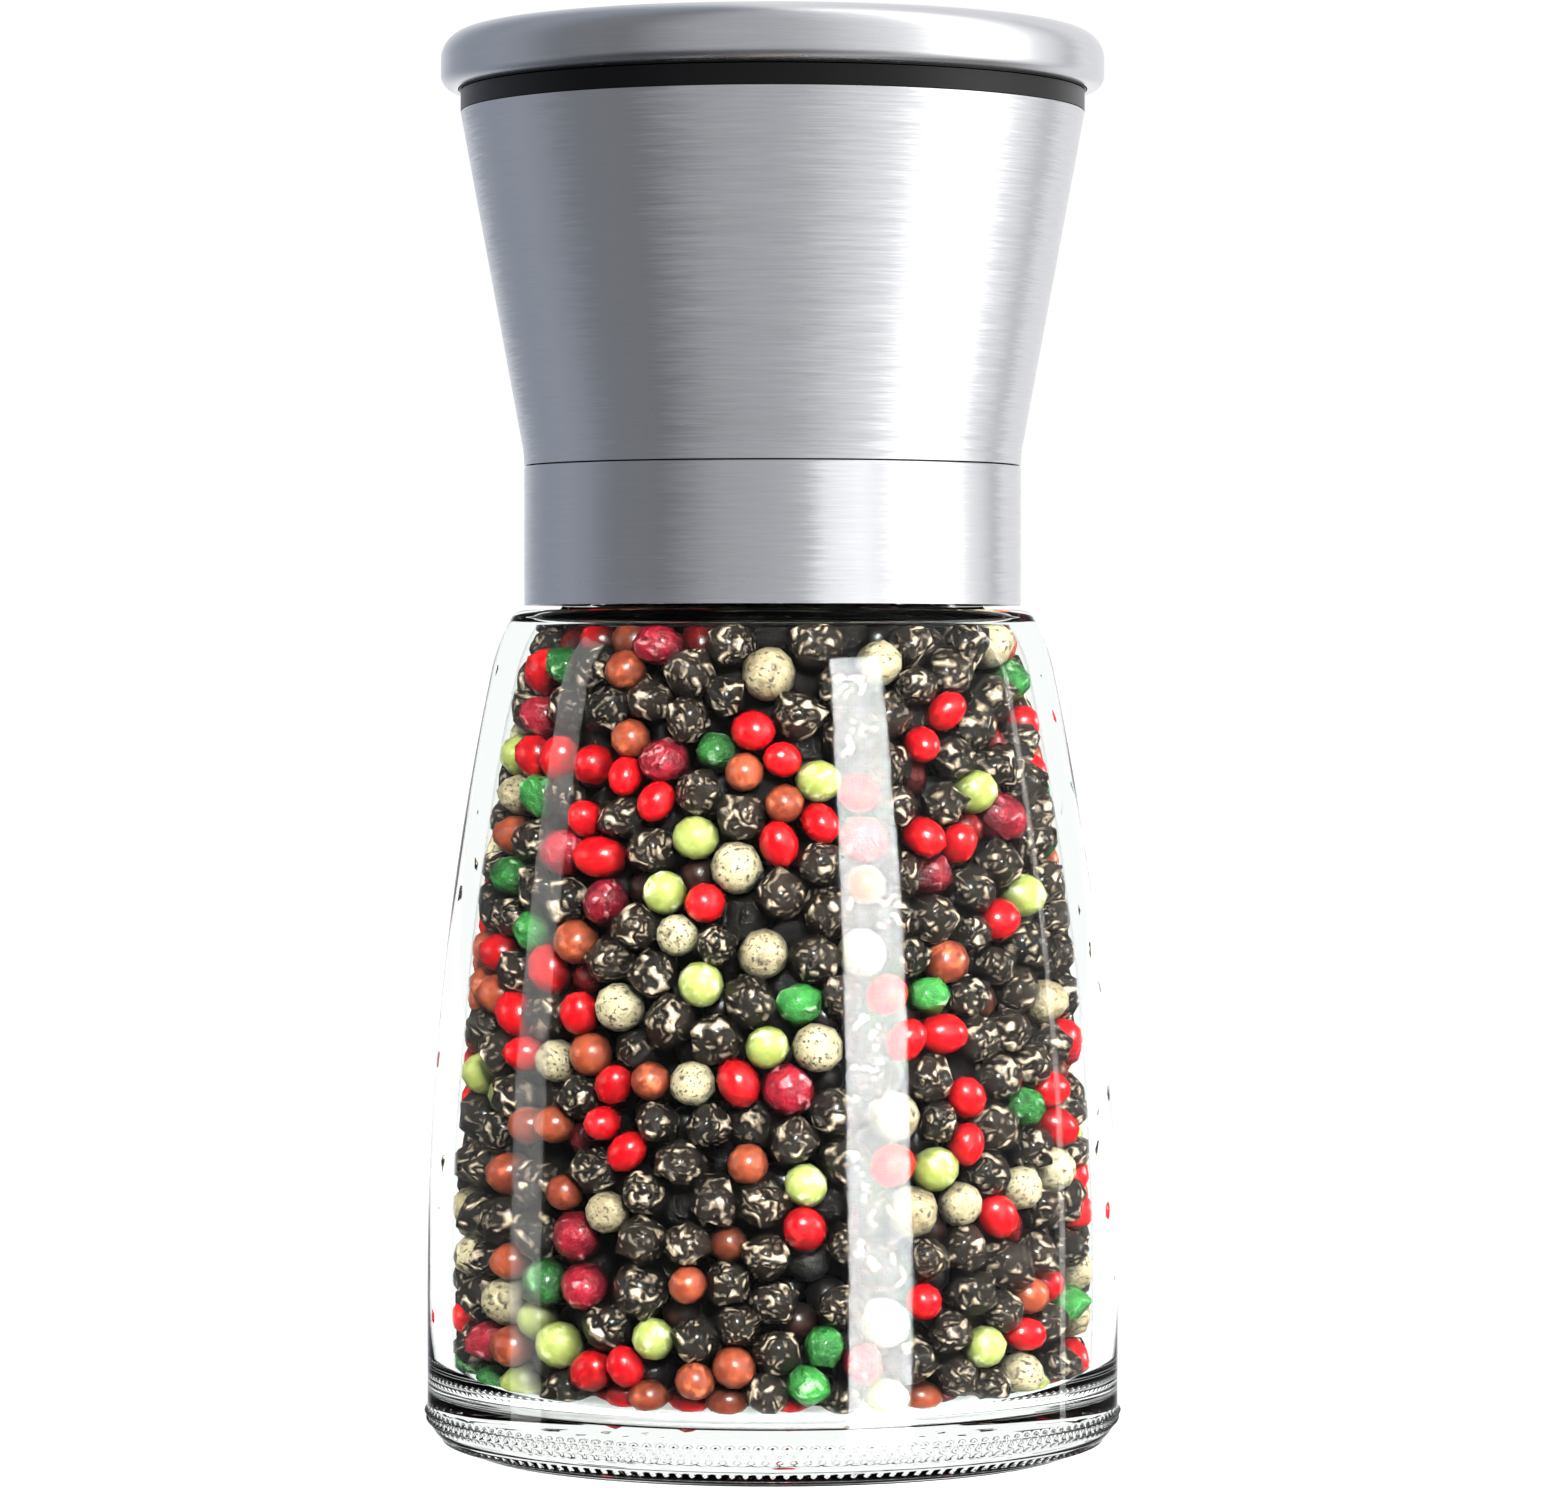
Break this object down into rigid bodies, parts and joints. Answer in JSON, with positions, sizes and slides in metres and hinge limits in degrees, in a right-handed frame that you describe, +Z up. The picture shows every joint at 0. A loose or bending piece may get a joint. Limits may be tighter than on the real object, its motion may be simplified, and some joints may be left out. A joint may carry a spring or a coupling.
{
  "type": "pepper mill",
  "caption": "Pepper mill with a clear glass jar of mixed peppercorns, a steel ring and a flared steel grinding head under a lift-off lid.",
  "frame": {"origin": "centre of the jar's foot, on the surface the mill stands on", "axes": "+Z up along the axis the head turns about, +X to the viewer's right, -Y towards the viewer"},
  "size_m": [0.066, 0.066, 0.135],
  "materials": {
    "clear_glass": "gloss",
    "brushed_steel": "satin",
    "plain_steel": "satin",
    "black_plastic": "satin",
    "white_ceramic": "matte",
    "clear_silicone": "matte",
    "white_plastic": "satin",
    "peppercorn_mix": "matte"
  },
  "bodies": {
    "jar": {"glass_jar": "clear_glass", "peppercorns": "peppercorn_mix"},
    "gasket": {"neck_gasket": "clear_silicone"},
    "collar": {"neck_collar": "black_plastic", "lower_ring": "brushed_steel", "spindle": "plain_steel", "spindle_clip": "plain_steel", "burr_spring": "plain_steel", "glide_ring": "white_plastic"},
    "head": {"head_sleeve": "brushed_steel", "head_liner": "black_plastic", "outer_burr": "white_ceramic", "burr_retainer": "black_plastic"},
    "lid": {"lid_shell": "brushed_steel", "lid_plug": "black_plastic", "lid_seal": "clear_silicone"},
    "burr": {"inner_burr": "white_ceramic", "burr_carrier": "black_plastic", "spring_washer": "plain_steel"},
    "knob": {"adjuster_knob": "black_plastic", "knob_nut": "plain_steel"}
  },
  "joints": [
    {"name": "collar_lift", "type": "slide", "parent": "jar", "child": "gasket", "axis": [0, 0, 1], "range_m": [0, 0.012]},
    {"name": "collar_turn", "type": "hinge", "parent": "gasket", "child": "collar", "pos_m": [0, 0, 0.0916], "axis": [0, 0, 1], "range_deg": [0, 1080]},
    {"name": "head_turn", "type": "hinge", "parent": "collar", "child": "head", "pos_m": [0, 0, 0.0942], "axis": [0, 0, 1], "continuous": true},
    {"name": "lid_lift", "type": "slide", "parent": "head", "child": "lid", "axis": [0, 0, 1], "range_m": [0, 0.03]},
    {"name": "burr_slide", "type": "slide", "parent": "collar", "child": "burr", "axis": [0, 0, 1], "range_m": [-0.0006, 0.0008], "deforming": ["burr_spring"]},
    {"name": "knob_turn", "type": "hinge", "parent": "burr", "child": "knob", "pos_m": [0, 0, 0.1142], "axis": [0, 0, 1], "range_deg": [-270, 360]}
  ],
  "couplings": [
    {"joint": "collar_lift", "follows": "collar_turn", "m_per_rad": 0.00063662},
    {"joint": "knob_turn", "follows": "burr_slide", "rad_per_m": 7853.9}
  ]
}
